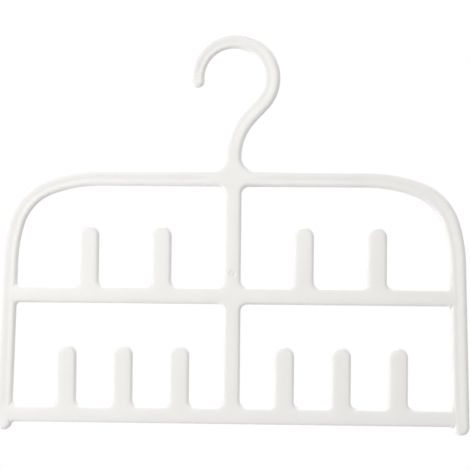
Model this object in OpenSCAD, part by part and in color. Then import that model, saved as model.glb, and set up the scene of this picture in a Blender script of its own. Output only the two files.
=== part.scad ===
// Scarf hanger, moulded in one piece: a rail hook, an arched frame and two crossbars with upright pegs.
// Millimetres, +Z up, front towards -Y. The origin is the rail's seat, the top of the hook's opening.

/* [Frame] */
// Overall width across the feet
frame_w = 333; // [320:1:346]
// Width of the beam, shoulders and legs, seen from the front
arch_w = 11.8; // [11:0.2:13.4]
// Depth of the arch and the hook, front to back
arch_d = 9; // [9:0.5:10.5]
// Outward lean of each leg, in degrees
leg_splay = 1.6; // [0:0.2:2.6]

/* [Shoulders] */
// Centre-line radius of the first arc, next to the beam
shoulder_r1 = 100; // [85:1:110]
// Centre-line radius of the second arc, the corner itself
shoulder_r2 = 39.5; // [34:0.5:44]
// Centre-line radius of the third arc, next to the leg
shoulder_r3 = 108; // [90:1:120]
// Angle of the first arc, in degrees
shoulder_a1 = 20.6; // [17:0.2:23]
// Angle of the second arc, in degrees
shoulder_a2 = 53; // [49:0.5:57]

/* [Hook] */
// Diameter of the opening that drops over the rail
hook_bore = 42; // [39:0.5:45]
// Height of the opening's centre above the beam's centre line
hook_rise = 70.5; // [67:0.5:75]
// Width of the neck
neck_w = 11.2; // [10.8:0.2:12.6]
// Width of the hook's limb at its tip
tip_w = 9.8; // [9.4:0.2:10.6]
// How far the tip reaches past the opening's level, in degrees
hook_lap = 4.5; // [2:0.5:12]
// Where the limb leaves the ring for the neck, in degrees below level
neck_angle = 43; // [40:0.5:46]
// Fillet radius between the neck and the beam
neck_fillet = 9; // [7:0.5:12]

/* [Crossbars] */
// Depth of the bars, post and pegs, front to back
lattice_d = 8.4; // [7.2:0.2:8.6]
// Width of both crossbars, seen from the front
bar_w = 12.2; // [11:0.2:13.4]
// Drop from the beam to the upper bar, between centre lines
upper_drop = 82.5; // [76:0.5:90]
// Drop from the upper bar to the lower bar, between centre lines
lower_drop = 84; // [76:0.5:92]
// Fillet radius where a bar meets a leg
leg_fillet = 2.75; // [1.5:0.25:4]

/* [Centre post] */
// Width of the post, seen from the front
post_w = 11.8; // [11:0.2:13.4]
// Fillet radius where the post meets the beam
beam_fillet = 5.5; // [3:0.5:7]
// Fillet radius where the post meets the bars
bar_fillet = 4.7; // [3:0.1:6]
// Height of the gate mark above the upper bar's centre line
gate_rise = 15.5; // [15:0.5:30]
// Diameter of the round dimple that the gate mark stands in
dimple_dia = 5.2; // [3.6:0.2:6]
// Diameter of the gate mark
gate_dia = 2.2; // [1.4:0.2:2.8]

/* [Pegs] */
// Width of a peg, seen from the front
peg_w = 14; // [12:0.5:15]
// Height of a peg above its bar
peg_h = 42.5; // [34:0.5:52]
// Fillet radius at the foot of a peg
peg_fillet = 4; // [2.5:0.25:5]
// Distance of the inner upper pegs from the post's centre line
upper_first = 50; // [44:0.5:54]
// Spacing of the upper pegs
upper_pitch = 51.2; // [46:0.2:56]
// Distance of the inner lower pegs from the post's centre line
lower_first = 36.8; // [33:0.2:40]
// Spacing of the lower pegs
lower_pitch = 39.8; // [36:0.2:42]

/* [Hidden] */
$fn = 96;

// Every section is a rectangle with round edges. Its flat sides, at the mould's parting line in mid-depth,
// are equally wide on all members, so that a slim member's fillets run into a deep one without a step.
side_land = 2.6;
function edge_of(depth, width) = min((depth - side_land) / 2, 0.45 * width);
arch_edge = edge_of(arch_d, min(arch_w, neck_w, tip_w));
lattice_edge = edge_of(lattice_d, min(bar_w, post_w, peg_w));
// How far a fillet is sunk into a deeper member that it runs into
bury = 0.15;
// Least straight stretch of a bar's root between the division and the fillets
root_lead = 0.5;
// Depth of the gate mark's dimple, and the mark's height above the dimple's floor
dimple_depth = 0.4;
gate_h = 0.6;

// Everything is drawn in the plane of the frame, x to the right, y up, z towards the front.
hook_r = hook_bore / 2;
hook_y = -hook_r;
beam_y = hook_y - hook_rise;
upper_y = beam_y - upper_drop;
lower_y = upper_y - lower_drop;
upper_x = [-upper_first - upper_pitch, -upper_first, upper_first, upper_first + upper_pitch];
lower_far = lower_first + 2 * lower_pitch;
lower_near = lower_first + lower_pitch;
lower_x = [-lower_far, -lower_near, -lower_first, lower_first, lower_near, lower_far];

// The neck: a straight leaves the ring and an arc turns it upright over the beam. The arc's radius and the
// straight's length follow from ending on the centre line at the top of the neck's fillets.
neck_y = beam_y + arch_w / 2 + neck_fillet;
ring_r = hook_r + neck_w / 2;
neck_r = ((hook_y - neck_y) * sin(neck_angle) - ring_r) / (1 - cos(neck_angle));
neck_straight = ((ring_r + neck_r) * cos(neck_angle) - neck_r) / sin(neck_angle);

// The three arcs between beam and leg share their tangents. Angles are counted from straight up, clockwise.
function heading(angle) = [sin(angle), cos(angle)];
a1 = shoulder_a1;
a2 = shoulder_a1 + shoulder_a2;
a3 = 90 - leg_splay;
foot = [frame_w / 2 - arch_w / 2, lower_y - bar_w / 2];
shoulder_sweep = shoulder_r1 * heading(a1) + shoulder_r2 * (heading(a2) - heading(a1))
    + shoulder_r3 * (heading(a3) - heading(a2));
knee_y = beam_y - shoulder_r1 + shoulder_sweep.y;
function leg_x(y) = foot.x - (y - foot.y) * tan(leg_splay);
knee = [leg_x(knee_y), knee_y];
beam_half = knee.x - shoulder_sweep.x;
centre_2 = [beam_half, beam_y - shoulder_r1] + (shoulder_r1 - shoulder_r2) * heading(a1);

// Where a bar is divided from its root in the leg, at a whole millimetre
leg_reach = arch_w / 2 + leg_fillet - bury;
function root_x(bar_y) =
    floor(leg_x(bar_y + bar_w / 2 + leg_fillet) - leg_reach / cos(leg_splay) - root_lead);

module section(width, depth, edge) {
    square([width - 2 * edge, depth], center = true);
    square([width, depth - 2 * edge], center = true);
    for (u = [-1, 1], v = [-1, 1])
        translate([u * (width / 2 - edge), v * (depth / 2 - edge)]) circle(edge);
}

// The half of a section on one side of its middle: side 1 or -1
module half_section(width, depth, edge, side = 1) {
    intersection() {
        section(width, depth, edge);
        translate([side * width / 2, 0]) square([width, 2 * depth], center = true);
    }
}

// A straight member from the origin along x
module run(length, width, depth, edge) {
    rotate([90, 0, 90]) linear_extrude(length) section(width, depth, edge);
}

module half_run(length, width, depth, edge, side) {
    rotate([90, 0, 90]) linear_extrude(length) half_section(width, depth, edge, side);
}

// A curved member round the origin, from the direction of x anticlockwise
module bend(radius, angle, width, depth, edge) {
    rotate_extrude(angle = angle) translate([radius, 0]) section(width, depth, edge);
}

// A member's round end, pointing up
module round_end(width, depth, edge) {
    rotate_extrude(angle = 180) half_section(width, depth, edge);
}

// What a fillet leaves out of a corner: a round bar about the fillet's centre whose rim is the hollow
// counterpart of the members' round edges
module fillet_void(radius, depth, edge) {
    rotate_extrude() difference() {
        translate([0, -depth]) square([radius + edge, 2 * depth]);
        translate([radius + 2 * edge, 0]) section(4 * edge, depth, edge);
    }
}

// The root of an upright on a level member, above the level member's centre line, with both fillets
module root(upright_w, level_w, radius, depth, edge) {
    reach = upright_w / 2 + radius;
    rise = level_w / 2 + radius;
    difference() {
        translate([-reach, 0, -depth / 2]) cube([2 * reach, rise, depth]);
        for (side = [-1, 1]) translate([side * reach, rise]) fillet_void(radius, depth, edge);
    }
}

// One side of a bar's root in the right leg. The web is bounded by the fillet's centre and the leg's
// centre line, and its fillet is tangent to the leg, or to the round foot if at_foot is true.
module leg_web(bar_y, side, at_foot) {
    centre_y = bar_y + side * (bar_w / 2 + leg_fillet);
    level_reach = at_foot ? sqrt(leg_reach ^ 2 - leg_fillet ^ 2) : leg_reach / cos(leg_splay);
    centre_x = (at_foot ? foot.x : leg_x(centre_y)) - level_reach;
    touch = at_foot ? foot : [centre_x, centre_y] + leg_reach * [cos(leg_splay), sin(leg_splay)];
    difference() {
        linear_extrude(lattice_d, center = true)
            polygon([[centre_x, bar_y], [leg_x(bar_y), bar_y], touch, [centre_x, centre_y]]);
        translate([centre_x, centre_y]) fillet_void(leg_fillet, lattice_d, lattice_edge);
    }
    translate([root_x(bar_y), bar_y])
        half_run(centre_x - root_x(bar_y), bar_w, lattice_d, lattice_edge, side);
}

module bar_root(bar_y, at_foot) {
    leg_web(bar_y, 1, false);
    leg_web(bar_y, -1, at_foot);
}

module upright() {
    rotate([90, 0, 0]) children();
}

module left_side() {
    mirror([1, 0, 0]) children();
}

// The open ring, drawn from its tip. The inner and outer rims are circles whose centres lie a little apart on
// the tip's ray. The outer one is placed to give the tip's width there and the neck's width at the other end,
// so that the limb grows steadily from the tip over the crown.
module hook() {
    turn = 180 + hook_lap + neck_angle;
    tip_r = hook_r + tip_w;
    end_r = hook_r + neck_w;
    exact_shift = (end_r ^ 2 - tip_r ^ 2) / (2 * (tip_r - end_r * cos(turn)));
    // To a whole micrometre, so that ring and tip share the very same section
    shift = round(1000 * exact_shift) / 1000;
    blank_w = 2 * neck_w;
    color("whitesmoke") upright() translate([0, hook_y]) rotate(180 + hook_lap) mirror([0, 1, 0]) {
        intersection() {
            rotate_extrude(angle = turn)
                translate([hook_r + blank_w, 0]) half_section(2 * blank_w, arch_d, arch_edge, -1);
            translate([-shift, 0])
                rotate_extrude() half_section(2 * (tip_r + shift), arch_d, arch_edge);
        }
        translate([hook_r + tip_w / 2, 0]) rotate(180) round_end(tip_w, arch_d, arch_edge);
    }
}

// The S-shaped limb between the ring and the beam, drawn from the plane where its straight meets its arc
module neck() {
    color("whitesmoke") upright() translate([neck_r, neck_y]) rotate(180 - neck_angle) {
        bend(neck_r, neck_angle, neck_w, arch_d, arch_edge);
        translate([neck_r, 0]) rotate(-90) run(neck_straight, neck_w, arch_d, arch_edge);
    }
}

module top_beam() {
    neck_half = neck_w / 2 + neck_fillet;
    color("whitesmoke") upright() translate([0, beam_y]) {
        root(neck_w, arch_w, neck_fillet, arch_d, arch_edge);
        translate([-neck_half, 0]) half_run(2 * neck_half, arch_w, arch_d, arch_edge, -1);
        translate([neck_half, 0]) run(beam_half - neck_half, arch_w, arch_d, arch_edge);
        translate([-beam_half, 0]) run(beam_half - neck_half, arch_w, arch_d, arch_edge);
        mirror([0, 1, 0]) root(post_w, arch_w - 2 * bury, beam_fillet, lattice_d, lattice_edge);
        for (side = [0, 1])
            mirror([side, 0, 0]) translate([beam_half, -shoulder_r1]) rotate(90) mirror([0, 1, 0])
                bend(shoulder_r1, a1, arch_w, arch_d, arch_edge);
    }
}

// The second and third arcs, drawn from the plane where they meet
module shoulder() {
    color("whitesmoke") upright() translate(centre_2) rotate(90 - a2) {
        bend(shoulder_r2, a2 - a1, arch_w, arch_d, arch_edge);
        translate([shoulder_r2 - shoulder_r3, 0]) mirror([0, 1, 0])
            bend(shoulder_r3, a3 - a2, arch_w, arch_d, arch_edge);
    }
}

module leg() {
    color("whitesmoke") upright() {
        translate(foot) rotate(leg_splay - 90) {
            translate([-norm(foot - knee), 0]) run(norm(foot - knee), arch_w, arch_d, arch_edge);
            rotate(-90) round_end(arch_w, arch_d, arch_edge);
        }
        bar_root(upper_y, false);
        bar_root(lower_y, true);
    }
}

// The post runs from its root under the beam through the upper bar and ends on the lower bar
module centre_post() {
    rise = bar_w / 2 + bar_fillet;
    reach = post_w / 2 + bar_fillet;
    beam_end = beam_y - arch_w / 2 + bury - beam_fillet;
    color("whitesmoke") upright() {
        difference() {
            translate([0, beam_end]) rotate(-90)
                run(beam_end - upper_y - rise, post_w, lattice_d, lattice_edge);
            translate([0, upper_y + gate_rise, lattice_d / 2 - dimple_depth])
                cylinder(h = 2 * dimple_depth, d = dimple_dia);
        }
        translate([0, upper_y]) {
            root(post_w, bar_w, bar_fillet, lattice_d, lattice_edge);
            mirror([0, 1, 0]) root(post_w, bar_w, bar_fillet, lattice_d, lattice_edge);
            translate([0, -rise]) rotate(-90) run(lower_drop - 2 * rise, post_w, lattice_d, lattice_edge);
        }
        translate([0, lower_y]) {
            root(post_w, bar_w, bar_fillet, lattice_d, lattice_edge);
            translate([-reach, 0]) half_run(2 * reach, bar_w, lattice_d, lattice_edge, -1);
        }
    }
}

// The right half of a crossbar, from the post's root to the leg's root, with the roots of its pegs
module bar(bar_y, pegs) {
    start = post_w / 2 + bar_fillet;
    end = root_x(bar_y);
    reach = peg_w / 2 + peg_fillet;
    from = [start, for (x = pegs) x + reach];
    to = [for (x = pegs) x - reach, end];
    color("whitesmoke") upright() translate([0, bar_y]) {
        translate([start, 0]) half_run(end - start, bar_w, lattice_d, lattice_edge, -1);
        for (i = [0:len(pegs)])
            translate([from[i], 0]) half_run(to[i] - from[i], bar_w, lattice_d, lattice_edge, 1);
        for (x = pegs)
            translate([x, 0]) root(peg_w, bar_w, peg_fillet, lattice_d, lattice_edge);
    }
}

module upper_bar() {
    bar(upper_y, [for (x = upper_x) if (x > 0) x]);
}

module lower_bar() {
    bar(lower_y, [for (x = lower_x) if (x > 0) x]);
}

module peg(x, bar_y) {
    foot_y = bar_y + bar_w / 2 + peg_fillet;
    straight = peg_h - peg_fillet - peg_w / 2;
    color("whitesmoke") upright() translate([x, foot_y]) {
        rotate(90) run(straight, peg_w, lattice_d, lattice_edge);
        translate([0, straight]) round_end(peg_w, lattice_d, lattice_edge);
    }
}

// The vestige of the gate through which the mould was filled, low enough in its dimple not to snag cloth
module gate_mark() {
    color("whitesmoke") upright()
        translate([0, upper_y + gate_rise, lattice_d / 2 - dimple_depth]) cylinder(h = gate_h, d = gate_dia);
}

hook();
neck();
top_beam();
left_side() shoulder();  // left_shoulder
shoulder();  // right_shoulder
left_side() leg();  // left_leg
leg();  // right_leg
centre_post();
left_side() upper_bar();  // upper_bar_left
upper_bar();  // upper_bar_right
left_side() lower_bar();  // lower_bar_left
lower_bar();  // lower_bar_right
for (i = [0:3])
    peg(upper_x[i], upper_y);
for (i = [0:5])
    peg(lower_x[i], lower_y);
gate_mark();
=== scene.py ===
import math

import bmesh
import bpy
import numpy as np
from mathutils import Matrix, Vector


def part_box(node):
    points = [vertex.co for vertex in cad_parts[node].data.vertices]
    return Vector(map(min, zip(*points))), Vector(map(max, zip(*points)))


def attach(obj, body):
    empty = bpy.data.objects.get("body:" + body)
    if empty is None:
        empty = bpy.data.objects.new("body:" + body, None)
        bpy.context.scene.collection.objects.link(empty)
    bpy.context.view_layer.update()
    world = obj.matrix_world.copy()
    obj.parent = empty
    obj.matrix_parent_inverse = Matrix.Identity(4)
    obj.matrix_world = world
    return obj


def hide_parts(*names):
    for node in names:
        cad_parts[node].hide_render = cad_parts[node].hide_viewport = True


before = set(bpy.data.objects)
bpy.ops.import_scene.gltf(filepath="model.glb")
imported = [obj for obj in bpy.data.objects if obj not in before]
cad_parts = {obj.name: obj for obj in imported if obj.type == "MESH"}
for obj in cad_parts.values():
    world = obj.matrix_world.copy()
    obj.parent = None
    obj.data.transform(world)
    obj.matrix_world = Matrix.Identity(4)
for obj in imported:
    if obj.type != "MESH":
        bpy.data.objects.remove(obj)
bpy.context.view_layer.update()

# The hook: an open ring that drops over a wardrobe rail, the top of a one-piece injection moulding of
# white polypropylene. Its oval limb widens from 9.8 to 11.2 mm, with a shallow hollow along both faces.
# The halves of the mould met in mid-depth and left a hair of flash there, all round.

ARCH_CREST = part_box("hook")[1].y * 1000
HOOK_BORE_R = 21.0
HOOK_CENTRE = np.array([0.0, -HOOK_BORE_R])
TIP_W = 9.8
NECK_W = 11.2
TIP_ANGLE = 184.5
RING_TURN = 227.5
LIMB_HALF = 5.9
EDGE_ROUND = 2.3
EDGE_SHARE = 0.6
EDGE_TIGHTER = 0.14
HOLLOW = 0.6
HOLLOW_FROM = 0.45
HOLLOW_FLOOR = 1.2
RIDGE = 1.55
RIDGE_SHARE = 0.2
TIP_FADE = (-23.0, 12.0)
NECK_FADE = (-76.0, 30.0)
BEAM_FADE = (6.0, 24.0)
LEG_FADE = (-264.0, 14.0)
DENSE_REACH = 5.6
FLASH = 0.1
FLASH_TIP = 0.12
FLASH_ROOT = 0.22


def heading(angle):
    """Unit vectors at angles in degrees, counted from +x towards +z, one row for each angle."""
    a = np.radians(np.atleast_1d(angle))
    return np.stack([np.cos(a), np.sin(a)], axis=-1)


def smooth(x):
    """The smooth step 3x^2 - 2x^3, from 0 to 1."""
    x = np.clip(x, 0, 1)
    return x * x * (3 - 2 * x)


def fade(x, start, over):
    """0 up to a start, then the smooth step over a length, then 1."""
    return smooth((x - start) / over)


def edge(u):
    """A round edge: (1 - (1-u)^2.3)^(1/2.3), from 0 at the rim to 1 where the edge is past."""
    return (1 - np.clip(1 - u, 0, 1) ** EDGE_ROUND) ** (1 / EDGE_ROUND)


def hollowness(place):
    """How much of the hollow shows, 0 to 1: all of it along the hook and the arch, none at the hook's tip,
    at the neck's root in the beam and at the end of a leg."""
    x, z = place[..., 0], place[..., 1]
    root = np.where(z > NECK_FADE[0], fade(z, *NECK_FADE), fade(np.abs(x), *BEAM_FADE))
    at_tip = (x < -HOOK_BORE_R / 2) & (z > -2 * HOOK_BORE_R)
    return root * np.where(at_tip, fade(z, *TIP_FADE), 1) * fade(z, *LEG_FADE)


def limb(u, hollow):
    """Height of an oval limb's face, u running from 0 at its outer rim over 1 at mid-width to 2 at its
    inner rim: round edges, and between them a crest, a parabola down to the hollow's floor and a low
    ridge."""
    down = np.clip((u - HOLLOW_FROM) / (HOLLOW_FLOOR - HOLLOW_FROM), 0, 1) ** 2
    up = (1 - np.clip((RIDGE - u) / (RIDGE - HOLLOW_FLOOR), 0, 1) ** 2) * (u > HOLLOW_FLOOR)
    face = ARCH_CREST - HOLLOW * hollow * (down - RIDGE_SHARE * up)
    return face * edge(u / EDGE_SHARE) * edge((2 - u) / (EDGE_SHARE - EDGE_TIGHTER * hollow))


def outer_face(place, inset, reach):
    """The limb between its outer rim and mid-width, level beyond that where a fillet widens it."""
    half = np.minimum(reach, LIMB_HALF)
    return limb(np.minimum(inset / half, 1), hollowness(place))


def inner_face(place, inset, reach):
    """The limb between its inner rim and mid-width, level beyond that where a fillet widens it."""
    half = np.minimum(reach, LIMB_HALF)
    return limb(2 - np.minimum(inset / half, 1), hollowness(place))


def skin(strips, steps=15):
    """Vertices and faces of a member's surface. Each strip has rays that start on the member's outline
    (rim) and end on its centre line (core), so that a point is rim + inset * direction, raised to both
    faces by the strip's height(place, inset, reach). An inset is 5.6 step^2 plus what is left of the reach
    times step^6, and a bead of flash 0.1 mm wide runs along the rim."""
    step = np.arange(1, steps + 1) / steps
    points, faces, start = [], [], 0
    for rim, core, height in strips:
        reach = np.maximum(np.linalg.norm(core - rim, axis=1), 1e-9)[:, None]
        ray = (core - rim) / reach
        inset = DENSE_REACH * step ** 2 + (reach - DENSE_REACH) * step ** 6
        place = rim[:, None, :] + ray[:, None, :] * inset[..., None]
        rise = height(place, inset, reach)
        drawn = FLASH + inset * (reach - FLASH) / reach
        ones = np.ones_like(reach)
        inset = np.hstack([0 * ones, FLASH * ones, drawn])
        rise = np.hstack([FLASH_TIP * ones, FLASH_ROOT * ones, rise])
        place = rim[:, None, :] + ray[:, None, :] * inset[..., None]
        half = np.concatenate([place, rise[..., None]], axis=2)
        middle = np.concatenate([rim, 0 * ones], axis=1)[:, None, :]
        grid = np.concatenate([half[:, ::-1, :], middle, half * np.array([1, 1, -1])], axis=1)
        rows, columns = grid.shape[:2]
        points.append(grid.reshape(-1, 3)[:, [0, 2, 1]])
        i = np.arange(rows * columns).reshape(rows, columns)[:-1, :-1].ravel() + start
        faces.append(np.stack([i, i + 1, i + columns + 1, i + columns], axis=1))
        start += rows * columns
    return np.concatenate(points), np.concatenate(faces)


def moulded(name, finish, points, faces):
    """A closed piece of the moulding, which takes the place of its node. Rows that two strips share are
    merged, and open ends, at the planes where one member passes into the next, are closed with flat
    caps."""
    mesh = bpy.data.meshes.new(name)
    mesh.from_pydata(points / 1000, [], faces.tolist())
    shell = bmesh.new()
    shell.from_mesh(mesh)
    bmesh.ops.remove_doubles(shell, verts=shell.verts, dist=2e-6)
    bmesh.ops.holes_fill(shell, edges=[e for e in shell.edges if e.is_boundary], sides=0)
    bmesh.ops.recalc_face_normals(shell, faces=shell.faces)
    shell.to_mesh(mesh)
    shell.free()
    mesh.shade_smooth()
    mesh.set_sharp_from_angle(angle=math.radians(40))
    mesh.materials.append(polypropylene)
    piece = bpy.data.objects.new(f"{name}_{finish}", mesh)
    bpy.context.scene.collection.objects.link(piece)
    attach(piece, "root")
    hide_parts(name)


def member(name, strips):
    """A member of the hanger from its strips of skin."""
    moulded(name, "moulded", *skin(strips))


def paint(code):
    """An sRGB hex colour as linear light: c/12.92 below 0.04045, else ((c + 0.055)/1.055)^2.4."""
    c = np.array([int(code[i:i + 2], 16) for i in (1, 3, 5)]) / 255
    return tuple(np.where(c <= 0.04045, c / 12.92, ((c + 0.055) / 1.055) ** 2.4)) + (1.0,)


def add(tree, kind, settings=None, **links):
    """Adds a node, sets its attributes or its input sockets, and links inputs to other nodes' outputs."""
    made = tree.nodes.new(kind)
    for key, value in (settings or {}).items():
        if isinstance(key, str) and hasattr(made, key):
            setattr(made, key, value)
        else:
            made.inputs[key].default_value = value
    for key, source in links.items():
        tree.links.new(made.inputs[key.replace("_", " ")], source)
    return made


# Polypropylene homopolymer, filled white, moulded against a fine-polished steel: a clean neutral white
# with a satin shine. The melt's flow leaves faint clouds of 22 mm in the tint and the gloss, its shrinkage
# a very shallow swell of 11 mm, and the steel a grain of 0.9 mm.
MM = 0.001
polypropylene = bpy.data.materials.new("moulded_polypropylene")
polypropylene.use_nodes = True
t = polypropylene.node_tree
t.nodes.clear()
where = add(t, "ShaderNodeTexCoord").outputs["Object"]
clouds = add(t, "ShaderNodeTexNoise", {"Scale": 1 / (22 * MM), "Detail": 3.0}, Vector=where).outputs["Fac"]
grain = add(t, "ShaderNodeTexNoise", {"Scale": 1 / (0.9 * MM), "Detail": 4.0}, Vector=where).outputs["Fac"]
swell = add(t, "ShaderNodeTexNoise", {"Scale": 1 / (11 * MM), "Detail": 1.0}, Vector=where).outputs["Fac"]
whites = {"data_type": "RGBA", 6: paint("#F2F1EE"), 7: paint("#EDEBE8")}
tint = add(t, "ShaderNodeMix", whites, Factor=clouds)
gloss = add(t, "ShaderNodeMapRange", {"To Min": 0.27, "To Max": 0.36}, Value=clouds).outputs["Result"]
low = add(t, "ShaderNodeBump", {"Strength": 0.35, "Distance": 0.12 * MM}, Height=swell).outputs["Normal"]
fine = add(t, "ShaderNodeBump", {"Strength": 0.12, "Distance": 0.02 * MM}, Height=grain, Normal=low)
plastic = add(t, "ShaderNodeBsdfPrincipled", {"IOR": 1.49}, Roughness=gloss, Normal=fine.outputs["Normal"])
t.links.new(plastic.inputs["Base Color"], tint.outputs[2])
add(t, "ShaderNodeOutputMaterial", Surface=plastic.outputs["BSDF"])

tip_r = HOOK_BORE_R + TIP_W
end_r = HOOK_BORE_R + NECK_W
shift = (end_r ** 2 - tip_r ** 2) / (2 * (tip_r - end_r * math.cos(math.radians(RING_TURN))))
turn = np.linspace(0, RING_TURN, 118)
ray = heading(TIP_ANGLE - turn)
lag = np.radians(turn)[:, None]
outer_r = np.sqrt((tip_r + shift) ** 2 - (shift * np.sin(lag)) ** 2) - shift * np.cos(lag)
inner_rim = HOOK_CENTRE + HOOK_BORE_R * ray
outer_rim = HOOK_CENTRE + outer_r * ray
limb_core = (inner_rim + outer_rim) / 2
tip_core = np.repeat(limb_core[:1], 33, axis=0)
tip_rim = tip_core + TIP_W / 2 * heading(TIP_ANGLE + np.linspace(0, 180, 33))
member("hook", [
    (inner_rim, limb_core, inner_face),
    (outer_rim, limb_core, outer_face),
    (tip_rim, tip_core, outer_face)
])

# The neck: the hook's limb carries on as a straight and a wide bend that brings it upright over the beam.
# It is part of the same moulding, with the same oval section, so nothing turns or comes apart here.

NECK_ANGLE = 43.0
BEAM_Z = -91.5
ARCH_W = 11.8
NECK_FILLET = 9.0
neck_foot = BEAM_Z + ARCH_W / 2 + NECK_FILLET
ring_r = HOOK_BORE_R + NECK_W / 2
down = math.radians(NECK_ANGLE)
neck_r = ((-HOOK_BORE_R - neck_foot) * math.sin(down) - ring_r) / (1 - math.cos(down))


def rims(core, outwards, half, outer, inner):
    """The two strips of a plain member, whose rims lie half its width to either side of its core."""
    return [(core + outwards * half, core, outer), (core - outwards * half, core, inner)]


ring_end = HOOK_CENTRE + ring_r * heading(-NECK_ANGLE)
bend_start = np.array([neck_r, neck_foot]) + neck_r * heading(180 - NECK_ANGLE)
along = np.linspace(0, 1, 5)[:, None]
straight = ring_end * (1 - along) + bend_start * along
swing = np.linspace(180 - NECK_ANGLE, 180, 25)
bend = np.array([neck_r, neck_foot]) + neck_r * heading(swing)
neck_core = np.concatenate([straight, bend[1:]])
neck_out = -np.concatenate([np.repeat(heading(180 - NECK_ANGLE), len(along), axis=0), heading(swing)[1:]])
member("neck", rims(neck_core, neck_out, NECK_W / 2, outer_face, inner_face))

# The top beam: the level bar that the hook hangs from, with the first, gentle bends towards the shoulders.
# The neck grows out of it through wide fillets and the slimmer, flatter post through small ones.

POST_W = 11.8
BAR_W = 12.2
BEAM_FILLET = 5.5
UPPER_Z = BEAM_Z - 82.5
LOWER_Z = UPPER_Z - 84.0
FRAME_W = 333.0
LEG_SPLAY = 1.6
SHOULDER_R1 = 100.0
SHOULDER_R2 = 39.5
SHOULDER_R3 = 108.0
BEND_1 = 20.6
BEND_2 = 53.0
LATTICE_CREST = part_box("upper_peg_1")[1].y * 1000
LATTICE_EDGE = 2.7
LATTICE_ROUND = 2.8
CROWN = 0.45
CROWN_REACH = 5.6
BLEND_DROP = 9.0
FINE = 0.6
NEAR = 20.0


def stations(marks, coarse):
    """Places along a core from mark to mark: every 0.6 mm in stretches under 20 mm, where other members
    branch off, else every coarse mm."""
    spots = []
    for a, b in zip(marks[:-1], marks[1:]):
        pitch = FINE if abs(b - a) < NEAR else coarse
        spots.append(np.linspace(a, b, 1 + max(1, int(abs(b - a) / pitch)))[:-1])
    return np.concatenate(spots + [[marks[-1]]])


def root(corner, side, rise, radius):
    """The fillets left and right of a member that branches off a level core at a corner. Each is its
    centre, its radius, its foot (the place on the core abreast of the centre) and the corner."""
    return [(corner + [s * side, rise], radius, corner + [s * side, 0], corner) for s in (-1, 1)]


def turned(fillets):
    """The same fillets as an upright core sees them: their feet are abreast of their centres on that
    core."""
    return [(centre, radius, np.array([corner[0], centre[1]]), corner)
            for centre, radius, _, corner in fillets]


def filleted(core, across, half, fillets, height):
    """The strips of one side of a member. Its rim lies half its width to the side, but abreast of a
    fillet, between its foot and the corner where two cores meet, it lies on the fillet's arc, on the line
    from its centre to the core. At each corner one strip ends and another starts, as another member
    branches off."""
    across = np.broadcast_to(across, core.shape)
    corners = [np.hypot(*(core - corner).T) < 1e-6 for _, _, _, corner in fillets]
    breaks = sorted({0, len(core) - 1} | {int(i) for hit in corners for i in np.flatnonzero(hit)})
    strips = []
    for first, last in zip(breaks[:-1], breaks[1:]):
        part = core[first:last + 1]
        rim = part + across[first:last + 1] * half
        span = part[-1] - part[0]
        for centre, radius, foot, corner in fillets:
            if not -1e-6 < (np.add(foot, corner) / 2 - part[0]) @ span / (span @ span) < 1 + 1e-6:
                continue
            run = np.subtract(corner, foot)
            share = (part - foot) @ run / (run @ run)
            spoke = part - centre
            arc = centre + radius * spoke / np.linalg.norm(spoke, axis=1)[:, None]
            beside = (share > -1e-6) & (share < 1 + 1e-6)
            rim = np.where(beside[:, None], arc, rim)
        strips.append((rim, part, height))
    return strips


def stem(top, bottom, half, fillets, height):
    """The two strips of an upright core between two points, with the fillets of either side."""
    length = abs(bottom[1] - top[1])
    share = np.linspace(0, 1, 1 + int(length / FINE))[:, None]
    core = np.asarray(top) * (1 - share) + np.asarray(bottom) * share
    made = []
    for side, fillet in zip((-1, 1), fillets):
        made += filleted(core, np.array([side, 0.0]), half, [fillet], height)
    return made


def cushion(inset):
    """Height of a lattice member's face: round edges, (1 - u^2.8)^(1/2.8) over 2.7 mm, and a slight crown
    that grows as 1 - (1 - inset/5.6)^2."""
    u = np.clip(1 - inset / LATTICE_EDGE, 0, 1)
    bulge = CROWN * (1 - (1 - np.clip(inset / CROWN_REACH, 0, 1)) ** 2)
    return (LATTICE_CREST - CROWN) * (1 - u ** LATTICE_ROUND) ** (1 / LATTICE_ROUND) + bulge


def beam_under(place, inset, reach):
    """Below the beam's core: its oval, which between the post's fillets turns into the post's cushion with
    the angle about the fillet's centre, and only 9 mm below the beam's core in full."""
    drop = BEAM_Z - place[..., 1]
    beside = np.clip(post_side - np.abs(place[..., 0]), 0, None)
    turned_by = np.arctan2(beside, np.maximum(post_drop - drop, 0)) / (np.pi / 2)
    share = smooth(turned_by) * smooth(drop / BLEND_DROP)
    return (1 - share) * inner_face(place, inset, reach) + share * cushion(inset)


def arch_point(origin, radius, angle):
    """Points of an arc, at angles counted clockwise from straight up."""
    return origin + radius * heading(90 - np.asarray(angle))


neck_side = NECK_W / 2 + NECK_FILLET
post_side = POST_W / 2 + BEAM_FILLET
post_drop = ARCH_W / 2 + BEAM_FILLET
foot_core = np.array([FRAME_W / 2 - ARCH_W / 2, LOWER_Z - BAR_W / 2])
splay = math.radians(LEG_SPLAY)
up_1, up_2, up_3 = (heading(90 - a)[0] for a in (BEND_1, BEND_1 + BEND_2, 90 - LEG_SPLAY))
sweep = SHOULDER_R1 * up_1 + SHOULDER_R2 * (up_2 - up_1) + SHOULDER_R3 * (up_3 - up_2)
knee_z = BEAM_Z - SHOULDER_R1 + sweep[1]
knee = np.array([foot_core[0] - (knee_z - foot_core[1]) * math.tan(splay), knee_z])
beam_half = knee[0] - sweep[0]
centre_1 = np.array([beam_half, BEAM_Z - SHOULDER_R1])
spots = stations([-beam_half, -neck_side, -post_side, 0, post_side, neck_side, beam_half], 4.0)
bend_turn = np.linspace(0, BEND_1, 14)[1:]
right_bend = arch_point(centre_1, SHOULDER_R1, bend_turn)
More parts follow.
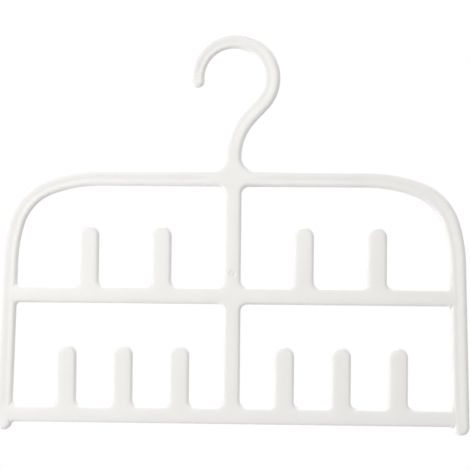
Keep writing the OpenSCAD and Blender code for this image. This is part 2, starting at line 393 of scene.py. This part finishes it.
left_bend = (right_bend * [-1, 1])[::-1]
flat_core = np.stack([spots, np.full_like(spots, BEAM_Z)], axis=1)
beam_core = np.concatenate([left_bend, flat_core, right_bend])
beam_up = np.concatenate([
    heading(90 + bend_turn[::-1]), np.repeat(heading(90), len(spots), axis=0), heading(90 - bend_turn)
])
middle = np.array([0.0, BEAM_Z])
neck_root = root(middle, neck_side, ARCH_W / 2 + NECK_FILLET, NECK_FILLET)
post_root = root(middle, post_side, -post_drop, BEAM_FILLET)
beam = filleted(beam_core, beam_up, ARCH_W / 2, neck_root, outer_face)
beam += filleted(beam_core, -beam_up, ARCH_W / 2, post_root, beam_under)
beam += stem([0, neck_foot], middle, NECK_W / 2, turned(neck_root), outer_face)
beam += stem(middle, [0, BEAM_Z - post_drop], POST_W / 2, turned(post_root), beam_under)
member("top_beam", beam)

# The shoulders: the two rounded corners of the arch, each a tight bend that eases into a long one. They
# keep the beam's oval section, which was moulded with the same generous edge so that nothing marks a
# scarf.

centre_2 = centre_1 + (SHOULDER_R1 - SHOULDER_R2) * up_1
centre_3 = centre_2 + (SHOULDER_R2 - SHOULDER_R3) * up_2
tight = np.linspace(BEND_1, BEND_1 + BEND_2, 45)
easy = np.linspace(BEND_1 + BEND_2, 90 - LEG_SPLAY, 16)[1:]
shoulder_core = np.concatenate([
    arch_point(centre_2, SHOULDER_R2, tight), arch_point(centre_3, SHOULDER_R3, easy)
])
shoulder_out = heading(90 - np.concatenate([tight, easy]))


def other_side(strips):
    """The same strips on the left of the moulding."""
    def flipped(height):
        return lambda place, inset, reach: height(place * [-1, 1], inset, reach)
    return [(rim * [-1, 1], core * [-1, 1], flipped(height)) for rim, core, height in strips]


shoulder = rims(shoulder_core, shoulder_out, ARCH_W / 2, outer_face, inner_face)
member("right_shoulder", shoulder)
member("left_shoulder", other_side(shoulder))

# The legs: they lean outwards a little and end in round feet level with the lower bar. The flat bars die
# into the oval legs through small fillets, so that each bar's end shows as a low round nose on the leg.

LEG_FILLET = 2.75
NOSE_FADE = 2.0
SEAM_INSIDE = 0.15
leg_down = np.array([math.sin(splay), -math.cos(splay)])
leg_out = np.array([math.cos(splay), math.sin(splay)])
web = ARCH_W / 2 + LEG_FILLET


def leg_x(z):
    """The leg's core at a height."""
    return foot_core[0] - (z - foot_core[1]) * math.tan(splay)


def abreast(point):
    """The place on the leg's core abreast of a point, no lower than the foot's centre."""
    return foot_core + min(0, (point - foot_core) @ leg_down) * leg_down


def leg_axis(place):
    """The nearest point of the leg's core, no lower than the foot's centre, and the way from it to the
    bars or, round the foot, to the place."""
    below = (place - foot_core) @ leg_down
    core = foot_core + np.minimum(below, 0)[..., None] * leg_down
    off = place - core
    gap = np.linalg.norm(off, axis=-1, keepdims=True)
    return core, np.where(below[..., None] > 1e-9, off / np.maximum(gap, 1e-9), -leg_out)


def meet(a, b, blend=0.5):
    """The higher of two heights, with the crease between them filled over a blend that fades at the
    rims."""
    room = blend * np.clip(np.maximum(a, b) / 2, 1e-6, 1)
    return np.maximum(a, b) + np.clip(room - np.abs(a - b), 0, None) ** 2 / (4 * room)


def bar_end(bar_z, at_foot):
    """A bar's end in the right leg: the seam where the bar itself starts, the corner where both cores
    meet, the centres of the fillets above and below it, and the height of the leg's face with the bar's
    nose on it."""
    rise = BAR_W / 2 + LEG_FILLET
    seam = math.floor(leg_x(bar_z + rise) - (web - SEAM_INSIDE) / math.cos(splay) - 0.5)
    corner = np.array([leg_x(bar_z), bar_z])
    above = np.array([leg_x(bar_z + rise) - web / math.cos(splay), bar_z + rise])
    below = np.array([leg_x(bar_z - rise) - web / math.cos(splay), bar_z - rise])
    if at_foot:
        below = foot_core + [-math.sqrt(web ** 2 - LEG_FILLET ** 2), -LEG_FILLET]

    def height(place, inset, reach):
        """Seen along the bar (s) and across it (v), the bar keeps its own cushion, mirrored at the leg's
        rim, and the higher of both faces shows, up to the leg's crest."""
        core, side = leg_axis(place)
        gap = np.linalg.norm(place - core, axis=-1)
        body = np.where(gap < LIMB_HALF, limb(1 + gap / LIMB_HALF, hollowness(place)), 0)
        beyond = core + side * (ARCH_W / 2 + np.abs(gap - ARCH_W / 2))[..., None]
        s, v = corner[0] - beyond[..., 0], beyond[..., 1] - bar_z
        depth = corner[0] - np.where(v > 0, above[0], below[0])
        arc = np.hypot(depth - s, rise - np.abs(v)) - LEG_FILLET
        to_rim = np.where(s < depth, arc, BAR_W / 2 - np.abs(v))
        to_rim = np.where((np.abs(v) < rise) & (s > 0), to_rim, 0)
        nose = np.minimum(meet(body, cushion(np.clip(to_rim, 0, None))), ARCH_CREST)
        return body + (nose - body) * smooth(gap / NOSE_FADE)
    return {"seam": seam, "corner": corner, "above": above, "below": below, "height": height}


upper_end = bar_end(UPPER_Z, False)
lower_end = bar_end(LOWER_Z, True)


def leg_face(place, inset, reach):
    """The leg's inner face: the noses of both bars on the oval."""
    return np.maximum(upper_end["height"](place, inset, reach), lower_end["height"](place, inset, reach))


def leg_strips():
    """The right leg: one core from knee to foot, two short cores for the bars' ends and a round foot."""
    ends = (upper_end, lower_end)
    marks = [knee]
    for end in ends:
        marks += [abreast(end["above"]), end["corner"], abreast(end["below"])]
    runs = []
    for a, b in zip(marks[:-1], marks[1:]):
        length = np.linalg.norm(b - a)
        share = np.linspace(0, 1, 1 + max(1, int(length / (FINE if length < 12 else 3))))[:-1, None]
        runs.append(a * (1 - share) + b * share)
    core = np.concatenate(runs + [foot_core[None]])
    fillets = [(end[way], LEG_FILLET, abreast(end[way]), end["corner"]) for end in ends
               for way in ("above", "below")]
    strips = [(core + leg_out * ARCH_W / 2, core, outer_face)]
    strips += filleted(core, -leg_out, ARCH_W / 2, fillets, leg_face)
    for end in ends:
        corner = end["corner"]
        xs = stations(sorted([end["seam"], end["above"][0], end["below"][0], corner[0]]), 3)
        bar_core = np.stack([xs, np.full_like(xs, corner[1])], axis=1)
        for side, centre in ((1, end["above"]), (-1, end["below"])):
            fillet = (centre, LEG_FILLET, np.array([centre[0], corner[1]]), corner)
            strips += filleted(bar_core, np.array([0.0, side]), BAR_W / 2, [fillet], end["height"])
    touch = foot_core - lower_end["below"]
    first = math.degrees(math.atan2(-touch[1], -touch[0])) % 360
    toe = np.linspace(first, 360 + LEG_SPLAY, 41)
    strips.append((foot_core + ARCH_W / 2 * heading(toe), np.repeat(foot_core[None], 41, axis=0), leg_face))
    return strips


leg = leg_strips()
member("right_leg", leg)
member("left_leg", other_side(leg))

# The centre post: a flat-faced strut with round edges that ties the beam to both bars and stops them
# sagging. It crosses the upper bar and ends on the lower one. The mould was filled at a gate low on its
# front.

BAR_FILLET = 4.7
GATE_RISE = 15.5
GATE_NEAR = 3.2
DIMPLE_R = 2.6
DIMPLE_FLANK = 0.5
DIMPLE_DEPTH = 0.4


def lattice_face(place, inset, reach):
    """The cushion of a bar, post or peg, by the distance from its rim."""
    return cushion(inset)


def dimple(points):
    """Sinks the round dimple of the gate into the front: its floor is level, and its flank is the smooth
    step of the distance from its rim."""
    off = np.hypot(points[:, 0], points[:, 2] - gate_z)
    sink = DIMPLE_DEPTH * smooth((DIMPLE_R - off) / DIMPLE_FLANK)
    front = points[:, 1] < -LATTICE_CREST / 2
    return points + np.stack([0 * off, np.where(front, sink, 0), 0 * off], axis=1)


cross_rise = BAR_W / 2 + BAR_FILLET
side_reach = POST_W / 2 + BAR_FILLET
upper_cross = np.array([0.0, UPPER_Z])
lower_cross = np.array([0.0, LOWER_Z])
gate_z = UPPER_Z + GATE_RISE
levels = np.concatenate([
    np.arange(BEAM_Z - post_drop, gate_z + GATE_NEAR, -4.0),
    np.arange(gate_z + GATE_NEAR, gate_z - GATE_NEAR, -0.3),
    np.linspace(gate_z - GATE_NEAR, UPPER_Z + cross_rise, 3)[:-1],
    np.linspace(UPPER_Z + cross_rise, UPPER_Z, 19)[:-1],
    np.linspace(UPPER_Z, UPPER_Z - cross_rise, 19)[:-1],
    np.linspace(UPPER_Z - cross_rise, LOWER_Z + cross_rise, 17)[:-1],
    np.linspace(LOWER_Z + cross_rise, LOWER_Z, 19)
])
post_core = np.stack([np.zeros_like(levels), levels], axis=1)
above_upper = root(upper_cross, side_reach, cross_rise, BAR_FILLET)
below_upper = root(upper_cross, side_reach, -cross_rise, BAR_FILLET)
above_lower = root(lower_cross, side_reach, cross_rise, BAR_FILLET)
post = []
for s, *fans in zip((-1, 1), above_upper, below_upper, above_lower):
    post += filleted(post_core, np.array([s, 0.0]), POST_W / 2, turned(fans), lattice_face)
    xs = np.linspace(0, s * side_reach, 19)
    arm = np.stack([xs, np.zeros_like(xs)], axis=1)
    for cross, v, fan in (
        (upper_cross, -1, fans[1:2]), (upper_cross, 1, fans[:1]),
        (lower_cross, -1, []), (lower_cross, 1, fans[2:])
    ):
        post += filleted(cross + arm, np.array([0.0, v]), BAR_W / 2, fan, lattice_face)
points, faces = skin(post, steps=24)
moulded("centre_post", "moulded", dimple(points), faces)

# The gate's vestige: where the runner was twisted off, a short stub stays on the floor of the dimple. Its
# rim is rounded by the tear and its top is a little hollow and uneven.

GATE_R = 1.1
GATE_H = 0.6
GATE_DISH = 0.12
ring = np.linspace(0, 2 * np.pi, 33)[:, None]
out = np.linspace(0, 1, 9)[None, :]
torn = 0.05 * np.sin(3 * ring + 1) * out + 0.03 * np.sin(7 * ring) * out ** 2
worn = 0.22 * (np.clip(out - 0.75, 0, 0.25) / 0.25) ** 2
top = GATE_H - GATE_DISH + 0.08 * out ** 2 + torn - worn
out = np.hstack([out, [[1.0]]])
top = np.hstack([top, np.zeros_like(ring)])
stub = np.stack([
    GATE_R * out * np.cos(ring), DIMPLE_DEPTH - LATTICE_CREST - top, gate_z + GATE_R * out * np.sin(ring)
], axis=2)
i = np.arange(33 * 10).reshape(33, 10)[:-1, :-1].ravel()
moulded("gate_mark", "torn", stub.reshape(-1, 3), np.stack([i, i + 1, i + 11, i + 10], axis=1))

# The crossbars: flat-faced rails that the scarves hang over, each in two halves either side of the post.
# The feet of the pegs widen into them through fillets, as the mould needs for the melt to fill the pegs.

PEG_W = 14.0
PEG_FILLET = 4.0
UPPER_PEGS = [50.0, 101.2]
LOWER_PEGS = [36.8, 76.6, 116.4]
peg_reach = PEG_W / 2 + PEG_FILLET
peg_rise = BAR_W / 2 + PEG_FILLET


def bar_strips(end, pegs):
    """The right half of a bar: its core, its plain lower rim, its upper rim with the fillets of the pegs,
    and a short core up into each peg."""
    bar_z = end["corner"][1]
    marks = [side_reach]
    for x in pegs:
        marks += [x - peg_reach, x, x + peg_reach]
    xs = stations(marks + [end["seam"]], 4.0)
    core = np.stack([xs, np.full_like(xs, bar_z)], axis=1)
    fans, stems = [], []
    for x in pegs:
        corner = np.array([x, bar_z])
        pair = root(corner, peg_reach, peg_rise, PEG_FILLET)
        fans += pair
        stems += stem([x, bar_z + peg_rise], corner, PEG_W / 2, turned(pair), lattice_face)
    upper = filleted(core, np.array([0.0, 1.0]), BAR_W / 2, fans, lattice_face)
    return upper + [(core - [0.0, BAR_W / 2], core, lattice_face)] + stems


for bar_name, end, pegs in (("upper_bar", upper_end, UPPER_PEGS), ("lower_bar", lower_end, LOWER_PEGS)):
    half_bar = bar_strips(end, pegs)
    member(bar_name + "_right", half_bar)
    member(bar_name + "_left", other_side(half_bar))

# The pegs: short upright tongues that keep the scarves apart, four on the upper bar and six on the lower.
# Each is flat on both faces, round-edged and ends in a half circle, so that cloth slips over it.

PEG_H = 42.5


def peg_strips(x, bar_z):
    """A peg from its root to its round tip."""
    tip_z = bar_z + BAR_W / 2 + PEG_H - PEG_W / 2
    zs = np.linspace(bar_z + peg_rise, tip_z, 10)
    core = np.stack([np.full_like(zs, x), zs], axis=1)
    centre = np.repeat(core[-1:], 41, axis=0)
    cap = centre + PEG_W / 2 * heading(np.linspace(0, 180, 41))
    sides = rims(core, np.array([1.0, 0.0]), PEG_W / 2, lattice_face, lattice_face)
    return sides + [(cap, centre, lattice_face)]


for row_name, bar_z, pegs in (("upper_peg", UPPER_Z, UPPER_PEGS), ("lower_peg", LOWER_Z, LOWER_PEGS)):
    places = [-x for x in reversed(pegs)] + pegs
    for number, x in enumerate(places, start=1):
        member(f"{row_name}_{number}", peg_strips(x, bar_z))

# The studio: a plain pale floor well below the hanging moulding, a white surround, three soft lamps in
# front, mostly from the left, two almost in the moulding's plane that light its left and top edges, and
# the camera, almost straight in front and a little to the right.

FLOOR_R = 3.0
FLOOR_Z = -1.25
SOFT_LIGHT = 0.67
FOCAL_PX = 1400
IMAGE_PX = 470
LOOK_AT = np.array([0.00156, 0.0, -0.13135])


def larger(tree, a, b):
    """The larger of two outputs."""
    made = add(tree, "ShaderNodeMath", {"operation": "MAXIMUM"})
    tree.links.new(made.inputs[0], a)
    tree.links.new(made.inputs[1], b)
    return made.outputs[0]


def aimed(obj, place, roll=0.0):
    """Turns a lamp or camera at a place so that it looks along -Z at the moulding, rolled about that
    line."""
    look = np.subtract(place, LOOK_AT)
    look = look / np.linalg.norm(look)
    right = np.cross([0, 0, 1], look)
    right = right / np.linalg.norm(right)
    up = np.cross(look, right)
    turn_matrix = np.eye(4)
    turn_matrix[:3, 0] = math.cos(roll) * right + math.sin(roll) * up
    turn_matrix[:3, 1] = -math.sin(roll) * right + math.cos(roll) * up
    turn_matrix[:3, 2] = look
    turn_matrix[:3, 3] = place
    scene.collection.objects.link(obj)
    obj.matrix_world = Matrix(turn_matrix.tolist())


scene = bpy.context.scene
floor_mesh = bpy.data.meshes.new("floor")
floor_turn = np.linspace(0, 2 * np.pi, 97)[:-1]
floor_rim = [FLOOR_R * np.cos(floor_turn), FLOOR_R * np.sin(floor_turn), np.full_like(floor_turn, FLOOR_Z)]
floor_mesh.from_pydata(np.stack(floor_rim, axis=1), [], [list(range(96))])
floor = bpy.data.objects.new("floor", floor_mesh)
scene.collection.objects.link(floor)
pale = bpy.data.materials.new("pale_floor")
pale.use_nodes = True
t = pale.node_tree
t.nodes.clear()
path = add(t, "ShaderNodeLightPath").outputs
seen = larger(t, path["Is Camera Ray"], path["Is Glossy Ray"])
matt = add(t, "ShaderNodeBsdfDiffuse", {"Color": paint("#F4F4F4")})
bright = add(t, "ShaderNodeEmission", {"Color": paint("#FFFFFF")}, Strength=seen)
lit = add(t, "ShaderNodeMixShader", {0: 0.5})
t.links.new(lit.inputs[1], matt.outputs[0])
t.links.new(lit.inputs[2], bright.outputs[0])
add(t, "ShaderNodeOutputMaterial", Surface=lit.outputs[0])
floor_mesh.materials.append(pale)

world = bpy.data.worlds.new("white_surround")
scene.world = world
world.use_nodes = True
t = world.node_tree
t.nodes.clear()
path = add(t, "ShaderNodeLightPath").outputs
seen = larger(t, path["Is Camera Ray"], path["Is Glossy Ray"])
seen = larger(t, seen, path["Is Transmission Ray"])
soft = add(t, "ShaderNodeBackground", {"Color": paint("#FFFFFF"), "Strength": SOFT_LIGHT})
white = add(t, "ShaderNodeBackground", {"Color": paint("#FFFFFF"), "Strength": 1.0})
mixed = add(t, "ShaderNodeMixShader")
t.links.new(mixed.inputs[0], seen)
t.links.new(mixed.inputs[1], soft.outputs[0])
t.links.new(mixed.inputs[2], white.outputs[0])
add(t, "ShaderNodeOutputWorld", Surface=mixed.outputs[0])

for name, place, size, power in (
    ("left_key", (-0.47, -0.67, 0.09), 0.6, 2.2),
    ("left_low", (-0.63, -0.75, -0.82), 0.7, 1.8),
    ("left_edge", (-0.95, 0.2, -0.70), 0.7, 7.0),
    ("top_edge", (-0.1, 0.3, 0.95), 0.7, 9.0),
    ("frontal", (0.0, -1.79, 0.03), 0.7, 2.4)
):
    lamp = bpy.data.lights.new(name, "AREA")
    lamp.size = size
    lamp.energy = power
    held = bpy.data.objects.new(name, lamp)
    held.visible_camera = False
    aimed(held, place)

camera = bpy.data.cameras.new("camera")
camera.sensor_width = 36.0
camera.lens = FOCAL_PX / IMAGE_PX * camera.sensor_width
view = bpy.data.objects.new("camera", camera)
yaw, pitch, distance = math.radians(2.04), math.radians(-0.84), 0.9842
stand = np.array([math.sin(yaw) * math.cos(pitch), -math.cos(yaw) * math.cos(pitch), math.sin(pitch)])
aimed(view, LOOK_AT + distance * stand, roll=math.radians(0.53))
scene.camera = view
scene.view_settings.view_transform = "Standard"
